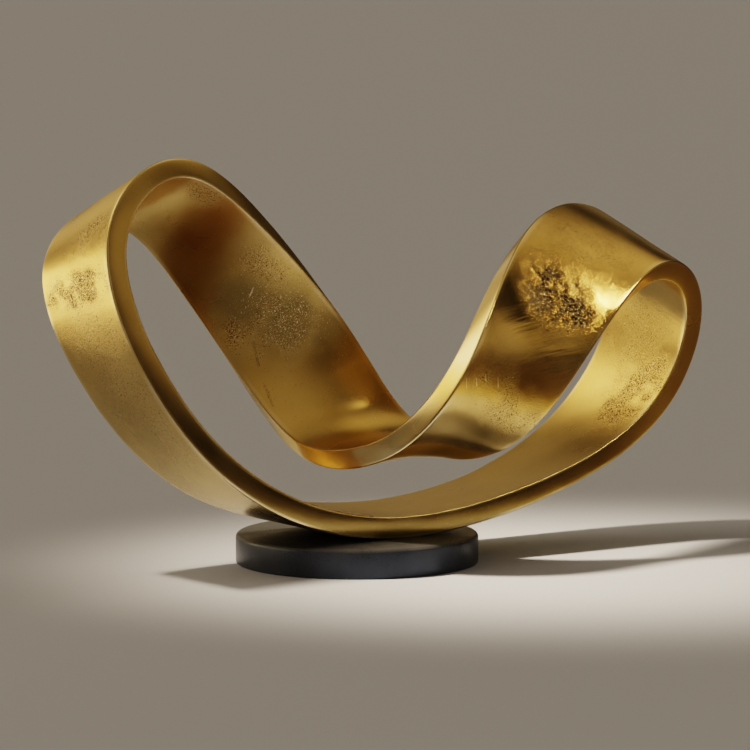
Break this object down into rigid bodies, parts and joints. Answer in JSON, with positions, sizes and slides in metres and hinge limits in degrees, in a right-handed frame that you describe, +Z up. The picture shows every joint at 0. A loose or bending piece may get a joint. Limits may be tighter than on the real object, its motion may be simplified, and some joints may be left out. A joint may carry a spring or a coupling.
{
  "type": "abstract ribbon sculpture",
  "caption": "Tabletop sculpture: a closed cast-metal band that rises, twists and dips between unequal crowns, standing on a low round black base.",
  "frame": {"origin": "middle of the round base's underside", "axes": "+X to the right along the sculpture, its longest way; +Y to the back; +Z up"},
  "size_m": [0.4316, 0.1584, 0.2517],
  "materials": {
    "gold_cast_metal": "cast metal with a gold-coloured plated skin, satin polished, with casting pits, brush marks and worn bright corners",
    "black_stone": "charcoal-black fine stone, satin side and softly polished top, small pale chips at the foot"
  },
  "bodies": {
    "root": {"ribbon_loop": "gold_cast_metal", "base_disc": "black_stone"}
  },
  "joints": []
}
